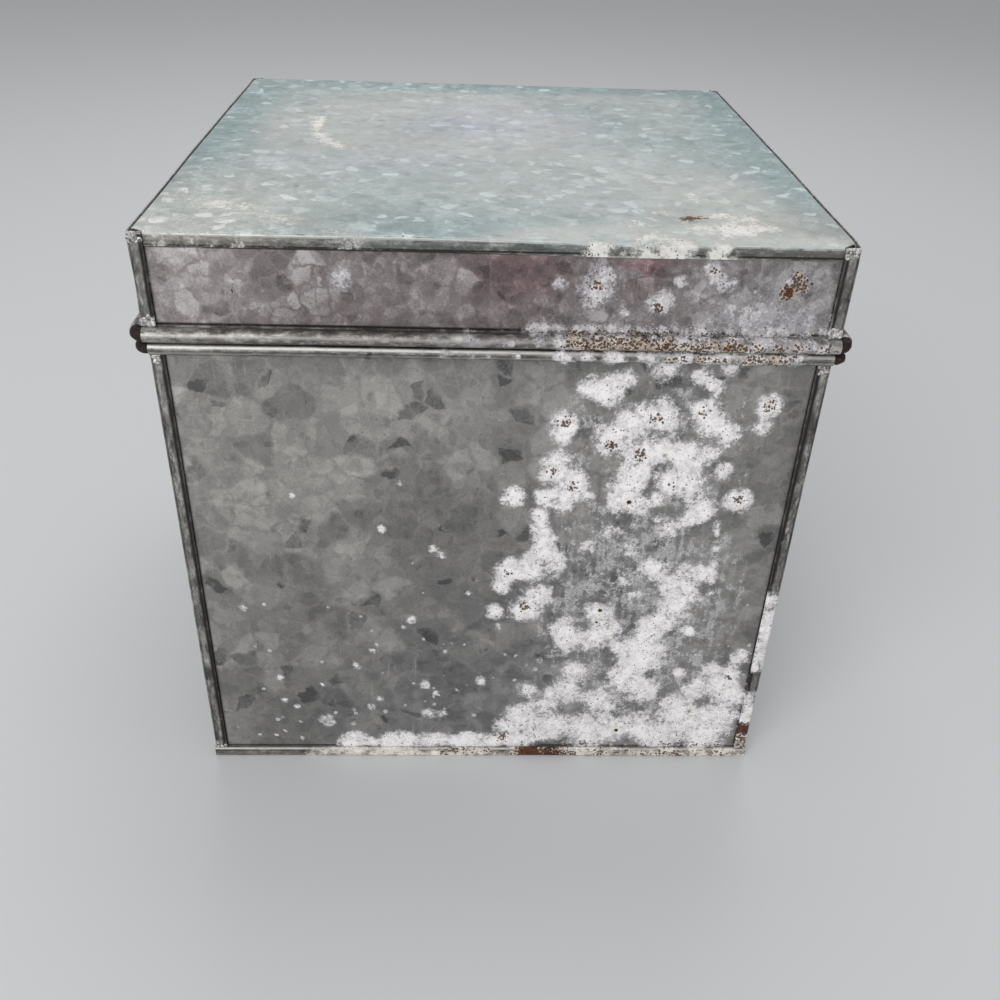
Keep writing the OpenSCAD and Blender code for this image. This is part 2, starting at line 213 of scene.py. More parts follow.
def weatheredZinc(name, look):
    finish, place = newFinish(name)
    height = place.split("XYZ", "Z")
    bloom, haze, rust, grime, flank = (place.add("ShaderNodeAttribute", {"attribute_name": kind}, out="Fac")
                                       for kind in ("oxide", "haze", "rust", "grime", "flank"))
    dust, cloud, drift = place.noise(1.1, 4.0, 0.7), place.noise(8, 6.0, 0.68), place.noise(55, 3.0, 0.6)
    frill, lobes = place.noise(2.6, 5.0, 0.7) - 0.5, place.noise(8, 6.0, 0.62) - 0.5
    rub = place.stretched(look["rub"]).noise(2.2, 4.0, 0.65)

    tone, darkLeaf, paleLeaf, tilt = spangle(place, look["spangle"], look["face"])
    fineTone, fineDark, finePale, fineTilt = spangle(place, look["spangle"] * 0.45, look["face"])
    dark, pale = look["leaves"]
    leaves = darkLeaf * dark + fineDark * dark * 0.35 - paleLeaf * pale - finePale * pale * 0.35
    grit = place.noise(0.6, 2.0, 0.6) - 0.5
    metal = tone + fineTone * 0.6 + (dust - 0.5) * 0.35 + grit * 0.22 + (drift - 0.5) * 0.5
    metal = metal * look["contrast"] + 0.5 + (rub - 0.5) * look["streaks"] - leaves
    colour = metal.ramp((0.1, look["dark"]), (0.5, look["mid"]), (0.9, look["light"]))
    for where, reach, tint, strength in look["washes"]:
        off = place.vector("DISTANCE", [v * mm for v in where], out="Value")
        wash = 1 - (off + lobes * 0.03).ease(reach * 0.1 * mm, reach * mm)
        colour = colour.tinted(tint, wash * strength, "MULTIPLY")
    colour = colour.tinted(stainAndPaintedLightColours["soot"], (0.5 - cloud).ease(0.0, 0.2) * look["soot"], "MULTIPLY")
    colour = colour.tinted(stainAndPaintedLightColours["scratch"], (rub - 0.66).ease(0.0, 0.1) * look["scratch"])
    # Painted shade: the lid top's flange, which faces front, is darkened as the shaded side of the lighter painted
    # top
    colour = colour.tinted(look["flankTint"], flank, "MULTIPLY")
    colour = colour.tinted(stainAndPaintedLightColours["speck"], (place.noise(1.6, 3.0, 0.6) - 0.66).ease(0.0, 0.04) * 0.6)

    # grimed and rubbed metal on the strips, beads and folds, with painted highlight lines and painted shade in the
    # seams
    grain = place.stretched(look["grain"]).noise(2.6, 7.0, 0.74)
    colour = colour.tinted(look["grimeTint"], grime, "MULTIPLY")
    colour = colour.tinted(stainAndPaintedLightColours["grime"], (grain - 0.51).ease(0.0, 0.10) * grime * 0.75)
    # Painted highlights: pale lines along the beads and rolled edges stand in for the lamps' reflection, in the
    # rubbed colour
    highlightLines = seamLines(place, look["shines"]) * (grain * 0.5 + cloud * 0.5 - 0.25).ease(0.0, 0.3)
    bright = (0.49 - grain).ease(0.0, 0.13) * grime * 0.6
    colour = colour.tinted(stainAndPaintedLightColours["rubbed"], bright.maths("MAXIMUM", highlightLines))
    # Painted shade with some dirt: near-black lines in the seams, gaps and creases, broken up by noise
    seamShadeAndDirt = seamLines(place, look["crevices"]) * (cloud * 1.2 + grain * 1.1 - 0.5).ease(0.1, 0.6)
    colour = colour.tinted(stainAndPaintedLightColours["seam"], seamShadeAndDirt)

    # white specks, more of them low down
    flake = place.cells(5.5, out="Color")
    few = height.ease(40 * mm, 230 * mm)
    fleck = (flake.split("Color") - few * 0.25).ease(0.66, 1.0) * 0.30
    fleck = (fleck - flake.other("Distance") + frill * 0.30).ease(0.0, 0.08) * look["flecks"] * (1 - flank)

    # white oxide: a speckled fringe, then a crust with lacy edges and holes in it
    ragged = lobes * 2.1 + frill * 1.6 + (dust - 0.5) * 0.45
    edge = bloom * 1.2 + (ragged + (0.36 - place.cells(3.0)) * 0.3) * bloom.ease(0.02, 0.3)
    speck = (dust * 0.7 + place.noise(0.7, 2.0) * 0.3 - 0.47).ease(0.0, 0.08)
    fringe = (edge + bloom * 0.4).ease(0.08, 0.44) * (speck * 0.45 + 0.4)
    crust = edge.ease(0.33, 0.43)
    holes = (place.noise(4.5, 5.0, 0.7) - 0.565).ease(0.0, 0.05) * (1 - edge.ease(0.6, 1.1)) * 0.75
    film = (haze * 0.5 + lobes * 2.4 + frill * 1.5 + (rub - 0.5) * 0.9) * haze.ease(0.0, 0.35)
    film = film.ease(0.36, 0.56) * (speck * 0.25 + 0.55) + film.ease(0.0, 0.36) * (speck * 0.12 + 0.08)
    veil = (fringe * 0.9).maths("MAXIMUM", crust * (1 - holes)).maths("MAXIMUM", film).maths("MAXIMUM", fleck)
    powder = dust * 0.35 + place.noise(3.5, 5.0, 0.7) * 0.5 + (edge - 0.6) * 0.25
    powder = powder + (place.noise(0.8, 3.0) - 0.5) * 0.3
    colour = colour.tinted(powder.ramp(*zip((0.20, 0.40, 0.58), look["powder"])), veil)

    # pits in the crust: one in most of the florets, and swarms near rust
    floret = place.cells(8.5, out="Color")
    pitDice = floret.split("Color")
    deep = bloom.ease(0.45, 0.8)
    pit = (pitDice.ease(0.35, 1.0) * 0.15 * deep - floret.other("Distance") + frill * 0.12).ease(0.0, 0.03)
    ring = (0.30 * deep * pitDice.ease(0.45, 0.7) - floret.other("Distance") + frill * 0.15).ease(0.0, 0.15)
    pock = place.cells(1.2, out="Color")
    swarm = (rust * 2.6).maths("MINIMUM", 0.9) + crust * 0.36
    pocks = (pock.split("Color") - 1 + swarm).ease(0.0, 0.6) * 0.65
    pocks = (pocks - pock.other("Distance") + frill * 0.5).ease(0.0, 0.10)
    colour = colour.tinted(stainAndPaintedLightColours["ring"], ring * 0.35)

    # rust: a warm stain round it, then its scaly middle
    scale = place.noise(2.0, 6.0, 0.72)
    burn = rust + ((scale - 0.5) * 1.1 + frill * 0.5) * rust.ease(0.02, 0.3)
    stain, solid = burn.ease(0.14, 0.45), burn.ease(0.50, 0.64)
    colour = colour.tinted(scale.ramp(*stainAndPaintedLightColours["warm"]), stain * 0.7)
    colour = colour.tinted(place.noise(1.5, 6.0, 0.75).ramp(*stainAndPaintedLightColours["rust"]), solid)
    colour = colour.tinted(stainAndPaintedLightColours["pit"], pit.maths("MAXIMUM", pocks * 0.9))

    rough = look["rough"] + (cloud - 0.5) * 0.35 + veil * 0.35 + stain * 0.2 - grime * 0.12
    relief = veil * 0.16 + dust * (veil * 0.12 + 0.03) + cloud * 0.05 - pit * 0.4 - pocks * 0.25
    relief = relief + scale * solid * 0.35 + lobes * veil * 0.2 + grain * grime * 0.12
    lean = tilt.scaled(look["lean"]).vector("ADD", fineTilt.scaled(look["lean"] * 0.6))
    facing = lean.vector("ADD", place.add("ShaderNodeNewGeometry", out="Normal")).vector("NORMALIZE")
    closeFinish(place, {"Base Color": colour, "Metallic": (1 - veil) * (1 - stain) * look["metal"],
                        "Roughness": rough.maths("MINIMUM", 0.95), "Normal": relief.bump(0.7, 1.2, Normal=facing)})
    return finish


def shown(name, data):  # a new object in the scene
    thing = bpy.data.objects.new(name, data)
    bpy.context.scene.collection.objects.link(thing)
    return thing


def meshOf(work, name):
    mesh = bpy.data.meshes.new(name)
    work.to_mesh(mesh)
    work.free()
    return mesh


weldReach, flatAngle = 2e-6, math.radians(0.6)  # what counts as one point or one flat


def copied(node):
    work = bmesh.new()
    work.from_mesh(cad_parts[node].data)
    bmesh.ops.remove_doubles(work, verts=work.verts, dist=weldReach)
    return work


# A copy of a CAD sheet, cut into square cells so that it can bend and take stains
def cutSheet(node, cell, axes="xyz"):
    work = copied(node)
    bmesh.ops.dissolve_limit(work, angle_limit=flatAngle, verts=work.verts, edges=work.edges)
    low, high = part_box(node)
    for axis in axes:
        i = axisNumber[axis]
        normal = Vector([float(k == i) for k in range(3)])
        count = max(1, round((high[i] - low[i]) / (cell * mm)))
        for k in range(1, count):
            parts = work.verts[:] + work.edges[:] + work.faces[:]
            bmesh.ops.bisect_plane(work, geom=parts, dist=1e-6, plane_co=low.lerp(high, k / count), plane_no=normal)
    return meshOf(work, node)


def valuesOf(mesh, kind):
    values = np.zeros(len(mesh.vertices) * 3)
    mesh.vertices.foreach_get(kind, values)
    return values.reshape(-1, 3)


def pointsOf(mesh):  # in mm
    return valuesOf(mesh, "co") / mm


def setPoints(mesh, points):
    mesh.vertices.foreach_set("co", (points * mm).ravel())
    mesh.update()


def smooth(value):
    value = np.clip(value, 0, 1)
    return value * value * (3 - 2 * value)


def keep(mesh, name, values):
    mesh.attributes.new(name, "FLOAT", "POINT").data.foreach_set("value", np.asarray(values, np.float32))


def spots(points, face, marks):  # marks: place in mm on the face, radius, strength
    u, v = points[:, axisNumber[face[0]]], points[:, axisNumber[face[1]]]
    clear = np.ones(len(points))
    for a, b, radius, strength in marks:
        off = ((u - a) ** 2 + (v - b) ** 2) / (1.5 * radius) ** 2
        clear *= 1 - strength * np.clip(1 - off, 0, 1) ** 2
    return 1 - clear


def row(start, end, count, radius, strength, seed):  # spots along a line, loosely spaced
    dice = np.random.default_rng(seed)
    marks = []
    for k in range(count):
        t = (k + dice.uniform(-0.4, 0.4)) / max(1, count - 1)
        size = radius * dice.uniform(0.6, 1.3)
        a, b = (low + (high - low) * t + dice.uniform(-1, 1) * radius * 0.3 for low, high in zip(start, end))
        marks.append((a, b, size, strength * dice.uniform(0.6, 1.0)))
    return marks


def scatter(low, high, count, radius, strength, seed):  # spots over a field, mostly small
    dice = np.random.default_rng(seed)
    return [(dice.uniform(low[0], high[0]), dice.uniform(low[1], high[1]),
             radius * dice.uniform(0.25, 1) ** 2, strength * dice.uniform(0.5, 1)) for k in range(count)]


# The knocks that the lid has taken: centre, reach on each axis and movement, in mm
knocks = [
    ((62, -153, 308), (105, 34, 16), (0, -0.3, -1.5)),
    ((-30, 40, 308), (110, 90, 30), (0, 0, -0.7)),
    ((136, -156, 309), (34, 16, 12), (-0.5, 0.4, -1.3)),
    ((-153, -154, 286), (6, 8, 20), (0.5, 0, 0)),
]


def knocked(points):
    for centre, reach, move in knocks:
        off = np.sqrt((((points - centre) / reach) ** 2).sum(1))
        points = points + (1 - smooth(off))[:, None] * np.array(move)
    return points


# Nothing folded by hand is quite straight: all outer pieces wander inwards together by up to half a millimetre
def wandered(points):
    x, y, z = points.T
    a = np.sin(y / 37 + 1.3) * np.sin(z / 61 + 0.4) * 0.5 + np.sin(y / 17 + z / 45) * 0.3
    b = np.sin(x / 41 + 0.7) * np.sin(z / 57 + 1.9) * 0.5 + np.sin(x / 19 - z / 39) * 0.3
    c = np.sin(x / 47 + 2.1) * np.sin(y / 53 + 0.9) * 0.6 + np.sin(x / 23 + y / 31) * 0.25
    x = x - np.sign(x) * smooth(np.abs(x) / 150) * (a + 0.8) * 0.3
    y = y - np.sign(y) * smooth(np.abs(y) / 150) * (b + 0.8) * 0.3
    z = z - smooth((z - 60) / 200) * (c + 0.85) * 0.22
    return np.stack([x, y, z], 1)


def settled(mesh):  # keeps a piece inside the frame's box
    low, high = np.array(frameBox[0]) / mm, np.array(frameBox[1]) / mm
    setPoints(mesh, np.clip(pointsOf(mesh), low, high))


foldReach = 32  # mm from a fold to where the flat sways freely


# How far each point may sway: 0 at the folds, 1 in the middle of the flat
def slackOf(points, limits, depth=None):
    slack = np.ones(len(points))
    for axis, (low, high) in limits.items():
        t = points[:, axisNumber[axis]]
        slack *= smooth(np.minimum(t - low, high - t) / foldReach)
    if depth:
        axis, low = depth
        slack *= points[:, axisNumber[axis]] > low
    return slack


def newTree(name, inputs):
    tree = bpy.data.node_groups.new(name, "GeometryNodeTree")
    for label, kind in {"Geometry": "Geometry", **inputs, "Finish": "Material"}.items():
        tree.interface.new_socket(label, in_out="INPUT", socket_type="NodeSocket" + kind)
    tree.interface.new_socket("Geometry", in_out="OUTPUT", socket_type="NodeSocketGeometry")
    return Flow(tree).add("NodeGroupInput")


def closeTree(given, shape):
    plain = given.add("GeometryNodeRealizeInstances", {}, {0: shape})
    coated = given.add("GeometryNodeSetMaterial", {}, {"Geometry": plain, "Material": given.other("Finish")})
    given.add("NodeGroupOutput", {}, {0: coated})
    return given.tree


def grow(mesh, tree, values, name):  # runs a tree on a mesh and returns the result as a plain object
    base = shown(name, mesh)
    modifier = base.modifiers.new("grow", "NODES")
    modifier.node_group = tree
    for item in tree.interface.items_tree:
        if item.in_out == "INPUT" and item.name in values:
            modifier[item.identifier] = values[item.name]
    bpy.context.view_layer.update()
    evaluated = base.evaluated_get(bpy.context.evaluated_depsgraph_get())
    grown = bpy.data.meshes.new_from_object(evaluated)
    base.modifiers.remove(modifier)
    base.data = grown
    grown.name = name
    return base


# Sways the flats of a sheet and raises lumps of crust where it is painted
def makeSheetTree():
    given = newTree("sheetSway", {"Outward": "Vector", "Sway": "Float", "Waves": "Float", "Crust Height": "Float",
                                  "Crust Lumps": "Float", "Seed": "Float"})
    at, crust = given.add("GeometryNodeInputPosition"), given.kept("crust")
    wave = at.seeded(given.other("Seed"), given.other("Waves"), 1.5, 0.4)
    move = given.other("Outward").scaled(wave * given.kept("slack") * given.other("Sway"))
    lumps = at.seeded(given.other("Seed"), given.other("Crust Lumps"), 4.0, 0.6)
    raised = (lumps + crust * 0.35 - 0.2).ease(0.38, 0.75) * crust.ease(0.05, 0.4) * given.other("Crust Height")
    swell = given.add("GeometryNodeInputNormal").scaled(raised)
    return closeTree(given, given.moved(move.vector("ADD", swell)))


# Grains of oxide on the sheet where crust is painted
def makeGrainTree():
    given = newTree("crustGrains", {"Density": "Float", "Grain Size": "Float", "Seed": "Int"})
    at, seed = given.add("GeometryNodeInputPosition"), given.other("Seed")
    drifts = given.add("ShaderNodeTexNoise", {}, {"Vector": at, "Scale": 120.0, "Detail": 2.0})
    thick = given.kept("crust").ease(0.45, 0.9) * (drifts - 0.5).ease(0.0, 0.12)
    spread = given.add("GeometryNodeDistributePointsOnFaces", {"distribute_method": "RANDOM"},
                       {"Mesh": given, "Density": thick * given.other("Density"), "Seed": seed})
    rough = given.add("ShaderNodeTexNoise", {}, {"Scale": 1.3, "Detail": 2.0}, "Color")
    grain = given.add("GeometryNodeMeshIcoSphere", {}, {"Radius": 1.0, "Subdivisions": 1})
    grain = grain.moved(rough.vector("SUBTRACT", (0.5, 0.5, 0.5)).scaled(1.6))
    size = given.add("FunctionNodeRandomValue", {"data_type": "FLOAT_VECTOR"},
                     {0: (0.5, 0.5, 0.2), 1: (1.5, 1.5, 0.6), "Seed": seed}).scaled(given.other("Grain Size"))
    placed = given.add("GeometryNodeInstanceOnPoints", {},
                       {"Points": spread, "Instance": grain, "Rotation": spread.other("Rotation"), "Scale": size})
    return closeTree(given, placed)


# A wire along a path, scaled with rust where it lies bare
def makeWireTree():
    given = newTree("rimWire", {"Radius": "Float", "Step": "Float", "Scale Height": "Float", "Seed": "Float"})
    line = given.add("GeometryNodeMeshToCurve", {}, {"Mesh": given})
    line = given.add("GeometryNodeResampleCurve", {"mode": "LENGTH"}, {"Curve": line, "Length": given.other("Step")})
    ring = given.add("GeometryNodeCurvePrimitiveCircle", {}, {"Resolution": 28, "Radius": given.other("Radius")})
    rod = given.add("GeometryNodeCurveToMesh", {}, {"Curve": line, "Profile Curve": ring, "Fill Caps": True})
    bare = given.kept("bare")
    bite = given.add("GeometryNodeInputPosition").seeded(given.other("Seed"), 520.0, 4.0, 0.6)
    lift = ((bite - 0.42) * bare * 3.2 - bite * 0.15 * (1 - bare)) * given.other("Scale Height")
    return closeTree(given, rod.moved(given.add("GeometryNodeInputNormal").scaled(lift)))


# Lumps of solder: a dented ball on each point, of the point's own size
def makeLumpTree():
    given = newTree("solderLumps", {"Dents": "Float", "Seed": "Int"})
    ball = given.add("GeometryNodeMeshIcoSphere", {}, {"Radius": 1.0, "Subdivisions": 4})
    spin = given.add("FunctionNodeRandomValue", {"data_type": "FLOAT_VECTOR"},
                     {0: (0.0, -3.0, 0.0), 1: (0.0, 3.0, 0.0), "Seed": given.other("Seed")})
    points = given.add("GeometryNodeMeshToPoints", {}, {"Mesh": given})
    placed = given.add("GeometryNodeInstanceOnPoints", {}, {"Points": points, "Instance": ball, "Rotation": spin,
                                                            "Scale": given.kept("size", "FLOAT_VECTOR")})
    shape = given.add("GeometryNodeRealizeInstances", {}, {0: placed})
    at = given.add("GeometryNodeInputPosition")
    dents = given.add("ShaderNodeTexNoise", {}, {"Vector": at, "Scale": 700.0, "Detail": 3.0})
    move = given.add("GeometryNodeInputNormal").scaled((dents - 0.5) * given.other("Dents"))
    return closeTree(given, shape.moved(move))


sheetTree, grainTree, wireTree, lumpTree = makeSheetTree(), makeGrainTree(), makeWireTree(), makeLumpTree()
crusted = {"body": [], "lid": []}  # meshes on which grains of crust grow, by body


def grimeOf(normals, points, strips):  # folds, and the strips and beads that hands and rain have reached
    grime = smooth((0.995 - np.abs(normals).max(1)) / 0.12) * 0.8
    for axis, low, high, amount in strips:
        at = points[:, axisNumber[axis]]
        if axis != "z":
            at = np.abs(at)
        grime = np.maximum(grime, ((at > low) & (at < high)) * amount)
    return grime


def finishPiece(piece, body, slot, *nodes):
    piece.data.set_sharp_from_angle(angle=math.radians(35))
    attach(piece, body)
    if nodes:
        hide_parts(*nodes)


sheetWork = {"Waves": 9.0, "Crust Height": 0.5 * mm, "Crust Lumps": 330.0}
crustFacing = -0.3  # crust leaves the inner side of a sheet free


def makeSheet(sheet):
    mesh = cutSheet(sheet["node"], sheet["cell"])
    points, normals = pointsOf(mesh), valuesOf(mesh, "normal")
    marks = {kind: spots(points, sheet["look"]["face"], sheet.get(kind, []))
             for kind in ("oxide", "rust", "haze", "crust")}
    outside = normals @ np.array(sheet["outward"]) > crustFacing
    marks["crust"] = np.maximum(marks["crust"], sheet.get("bloomed", 0) * marks["oxide"]) * outside
    marks["slack"] = slackOf(points, sheet["free"], sheet.get("above"))
    marks["grime"] = grimeOf(normals, points, sheet["strips"])
    marks["flank"] = points[:, 2] < sheet.get("flankBelow", -1)
    for kind, values in marks.items():
        keep(mesh, kind, values)
    if sheet["body"] == "lid":
        points = knocked(points)
    setPoints(mesh, wandered(points))
    finish = weatheredZinc(sheet["name"] + "Zinc", sheet["look"])
    piece = grow(mesh, sheetTree, {**sheetWork, "Outward": sheet["outward"], "Sway": sheet["sway"] * mm,
                                   "Seed": sheet["seed"], "Finish": finish}, sheet["name"])
    settled(piece.data)
    piece.data.shade_smooth()
    if sheet.get("crust"):
        crusted[sheet["body"]].append(piece.data.copy())
    finishPiece(piece, sheet["body"], "weathered_galvanised_sheet", sheet["node"])
    print("sheet", sheet["name"], len(piece.data.polygons), "faces")


plainPowder = [(0.34, 0.34, 0.35), (0.61, 0.59, 0.60), (0.88, 0.86, 0.86)]
creamPowder = [(0.34, 0.32, 0.29), (0.58, 0.55, 0.50), (0.80, 0.77, 0.72)]
zincLook = {
    "spangle": 16, "contrast": 1.0, "leaves": (0.34, 0.10), "streaks": 0.10, "lean": 0.05, "metal": 0.5, "rough": 0.5,
    "soot": 0.3, "flecks": 1.0, "scratch": 0.25, "rub": (1, 1, 0.06), "grain": (1, 1, 0.35),
    "dark": (0.072, 0.072, 0.074), "mid": (0.218, 0.213, 0.206), "light": (0.43, 0.42, 0.40), "powder": plainPowder,
    "grimeTint": (0.80, 0.80, 0.78), "flankTint": (1, 1, 1), "washes": [], "shines": [], "crevices": [],
}
# Painted highlight lines along the body's and the lid's beads
bodyBeadHighlights = [("z", 257.6, 1.0, 0.7), ("z", 254.6, 0.5, 0.35)]  # lit lines along the beads
lidBeadHighlights = [("z", 263.6, 1.2, 0.35)]

# The body's front wall
frontLook = dict(zincLook, face="xz", grain=(0.35, 1, 1), shines=bodyBeadHighlights,
    washes=[((-135, -150, 215), 170, (1.30, 1.28, 1.26), 0.9), ((0, -150, 0), 160, (0.93, 0.93, 0.96), 0.9)],
    crevices=[("x", 146.3, 1.5, 1.0, 7, 253), ("z", 7.1, 0.9, 0.8), ("z", 252.9, 1.0, 0.9), ("z", 259.0, 0.9, 0.9),
              ("z", 255.8, 0.7, 0.5)])
frontSheet = {
    "name": "bodyFront", "node": "front_panel", "body": "body", "cell": 1.8, "bloomed": 0.5, "seed": 3.0,
    "look": frontLook, "free": {"x": (-146, 146), "z": (8, 250)}, "outward": (0, -1, 0), "sway": 1.1,
    "strips": [("z", 253, 263, 0.75)],
    "oxide": [
        (33, 220, 7, 1), (32, 213, 5, .9), (52, 237, 8, 1), (44, 239, 6, .9), (60, 244, 5, .8), (95, 245, 5, .9),
        (101, 240, 4, .8), (78, 250, 8, .7), (107, 250, 4, .8), (128, 231, 6, 1), (127, 220, 4.5, .9),
        (99, 227, 8, .9),
        (78, 225, 9, 1), (67, 222, 9, .9), (56, 212, 9, 1), (72, 205, 9, 1), (84, 207, 8, .9), (105, 219, 8, .85),
        (112, 215, 6, .8), (105, 204, 5, .8), (112, 195, 5, .9), (31, 199, 7, 1), (28, 193, 6, .9), (39, 187, 8, 1),
        (27, 179, 6, .9), (35, 176, 6, .8), (45, 180, 5, .6), (11, 179, 6, 1), (24, 169, 4.5, .9), (25, 162, 5, .9),
        (27, 154, 6, .95), (28, 145, 7, .9), (22, 140, 6, .9), (34, 139, 6, .85), (22, 133, 6, .9), (10, 133, 7, 1),
        (12, 139, 4, .8), (7, 124, 5, .9), (4, 107, 5, .95), (20, 109, 8, 1), (27, 118, 7, .9), (6, 97, 2, .8),
        (40, 97, 7, .95), (44, 87, 8, .9), (59, 105, 9, .9), (64, 94, 8, .85), (55, 87, 8, .8), (70, 83, 5, .8),
        (80, 83, 9, .95), (87, 94, 9, .9), (88, 80, 9, .95), (95, 125, 8, .8), (103, 133, 7, .85), (110, 133, 5.5, 1),
        (104, 119, 8, .85), (99, 110, 9, .85), (93, 102, 9, .85), (85, 135, 8, .85), (122, 178, 7, 1),
        (105, 173, 7, .95), (100, 168, 6, .9), (90, 161, 6, .85), (87, 188, 7, 1), (81, 178, 4, .9), (69, 193, 9, .9),
        (65, 183, 9, .9), (64, 177, 7, .85), (72, 174, 6, .8), (93, 203, 9, .85), (96, 193, 8, .85), (99, 184, 7, .8),
        (83, 167, 3, .8), (107, 65, 4, .9), (108, 95, 4, .9), (23, 51, 6, .8), (20, 33, 8, .85), (14, 24, 8, .85),
        (45, 51, 10, .9), (77, 61, 10, .95), (88, 52, 9, .9), (79, 70, 8, .9), (90, 73, 8, .9), (49, 66, 7, .8),
        (66, 43, 12, .75), (33, 40, 9, .8), (117, 52, 9, .8), (129, 54, 9, .9), (135, 61, 8, .95), (139, 75, 6, .9),
        (139, 48, 9, .9), (124, 67, 6, .7), (107, 38, 10, .85), (114, 27, 12, .9), (132, 29, 14, .95),
        (88, 24, 11, .9),
        (73, 21, 10, .9), (57, 23, 10, .85), (40, 22, 11, .9), (27, 20, 9, .85), (100, 14, 12, .9),
        (128, 13, 12, .95),
        (60, 11, 10, .8), (50, 150, 5, .6), (60, 160, 5, .55), (72, 148, 5, .6), (76, 118, 5, .5), (70, 128, 5, .5),
        (-53, 159, 2.4, 1), (-28, 147, 2.4, .9), (-24, 143, 2, .9), (-127, 108, 2, .8), (-10, 119, 1.8, .9),
        (-40, 101, 3, .6), (-33, 55, 3, .9), (-2, 58, 3.5, .8), (-31, 33, 4, .6), (-24, 33, 3.5, .6),
        (-88, 27, 5, .5),
        (-96, 178, 1.6, .8), (-44, 186, 1.4, .6), (-112, 60, 2.4, .6), (-70, 68, 2.6, .6), (-58, 44, 2.2, .6),
    ] + row((114, 166), (116, 122), 12, 2.4, .75, 5) + row((-78, 9), (22, 11), 26, 6, .95, 6)
      + row((30, 256), (133, 256), 16, 4, .85, 7) + row((-20, 256), (30, 256), 6, 2.5, .4, 8)
      + scatter((-135, 12), (0, 90), 46, 2.2, .8, 36),
    "haze": [(62, 152, 26, .9), (66, 130, 30, .9), (42, 163, 16, .6), (88, 150, 24, .9), (96, 95, 34, .9),
             (60, 100, 30, .8), (60, 70, 40, .7), (110, 40, 44, .8), (44, 225, 14, .7), (40, 200, 12, .8),
             (90, 215, 34, .8), (75, 190, 24, .8), (90, 178, 20, .8), (112, 135, 22, .8), (118, 110, 20, .6),
             (30, 120, 16, .7), (45, 125, 20, .7)] + row((119, 190), (123, 88), 9, 5, .9, 48),
    "rust": [(33, 221, 2.8, .5), (56, 209, 3.0, .52), (77, 224, 3.0, .45), (71, 204, 3.2, .48), (39, 186, 2.6, .5),
             (128, 231, 2.8, .52), (19, 110, 3.0, .5), (98, 227, 2.4, .42), (122, 179, 2.6, .5), (30, 194, 2.2, .42),
             (87, 188, 1.8, .4), (10, 14, 3.5, .45), (135, 61, 1.8, .4), (10, 133, 2, .35)]
            + row((20, 8), (150, 8), 20, 2.0, .42, 9) + row((75, 256), (132, 256), 14, 3, .34, 10),
    "crust": row((28, 256.5), (130, 256.5), 12, 6, .9, 37) + row((20, 9), (140, 9), 10, 5, .5, 38),
}

# The band of the bottom pan along the foot
# The foot band's lines are a painted highlight along the band and painted shade with dirt along its lower edge and
# fold
footLook = dict(zincLook, face="xz", spangle=9, contrast=0.6, metal=0.4, rough=0.6, soot=0.5, flecks=0.3,
    dark=(0.06, 0.058, 0.055), mid=(0.19, 0.18, 0.17), light=(0.36, 0.34, 0.32), powder=creamPowder,
    rub=(0.05, 0.05, 1), grain=(0.35, 1, 1),
    shines=[("z", 5.8, 0.8, 0.9)], crevices=[("z", 0.0, 0.9, 0.8), ("z", 4.4, 0.6, 0.7)])
footSheet = {
    "name": "bottomPan", "node": "bottom_pan", "body": "body", "cell": 5, "seed": 4.0, "look": footLook,
    "free": {}, "outward": (0, -1, 0), "sway": 0.0, "strips": [("z", -1, 7, 0.6)],
    "oxide": row((-95, 3), (150, 3), 34, 6, .85, 11),
    "haze": [(-120, 3, 20, .3)],
    "rust": row((25, 3), (44, 3), 8, 4.5, .95, 12) + row((-25, 4), (22, 4), 8, 2.6, .45, 13)
            + row((48, 3), (150, 3), 22, 2.6, .5, 14),
    "crust": row((10, 3.5), (146, 3.5), 16, 6, .6, 15),
}

# The side walls, whose edges fold round the front and back corners
bodyCrevices = [("z", 253.0, 1.0, 0.8), ("z", 6.6, 1.0, 0.8), ("x", 146.9, 1.5, 1.0, 7, 252),
                ("x", 151.1, 0.7, 0.6, 7, 252)]
sideLook = dict(zincLook, face="yz", washes=[((0, 0, 0), 160, (0.88, 0.88, 0.90), 0.7)], crevices=bodyCrevices,
                shines=bodyBeadHighlights)
bodyStrips = [("y", 150.4, 160, 0.9), ("z", 253, 263, 0.75)]
sideSheet = {"body": "body", "cell": 4, "look": sideLook, "free": {"y": (-146, 146), "z": (8, 250)}, "sway": 1.4,
             "strips": bodyStrips}
leftSheet = {
    **sideSheet, "name": "bodyLeft", "node": "left_side_panel", "seed": 5.0, "outward": (-1, 0, 0),
    "oxide": scatter((-140, 15), (140, 240), 60, 6, .9, 21) + row((-60, 12), (120, 10), 18, 6, .8, 22),
    "haze": [(40, 60, 50, .5), (-90, 200, 30, .3)],
    "rust": scatter((-140, 15), (140, 200), 8, 2.2, .6, 23) + [(-152, 8, 5, .4)],
}
rightSheet = {
    **sideSheet, "name": "bodyRight", "node": "right_side_panel", "seed": 6.0, "outward": (1, 0, 0),
    "oxide": scatter((-140, 15), (60, 220), 90, 11, .95, 24) + row((-150, 14), (100, 10), 26, 9, .9, 25)
             + row((-152, 70), (-152, 115), 8, 5, .8, 26) + row((-152, 5), (-152, 30), 5, 6, .9, 27)
             + row((-150, 40), (-60, 60), 10, 12, .8, 28),
    "haze": [(-70, 80, 70, .8), (-20, 170, 50, .6)],
    "rust": [(-152, 23, 4.5, .95), (-152, 12, 6, .5), (-152, 3, 6, .55)]
            + scatter((-140, 15), (40, 200), 16, 2.6, .65, 29) + row((-140, 8), (0, 8), 12, 3, .5, 30),
}

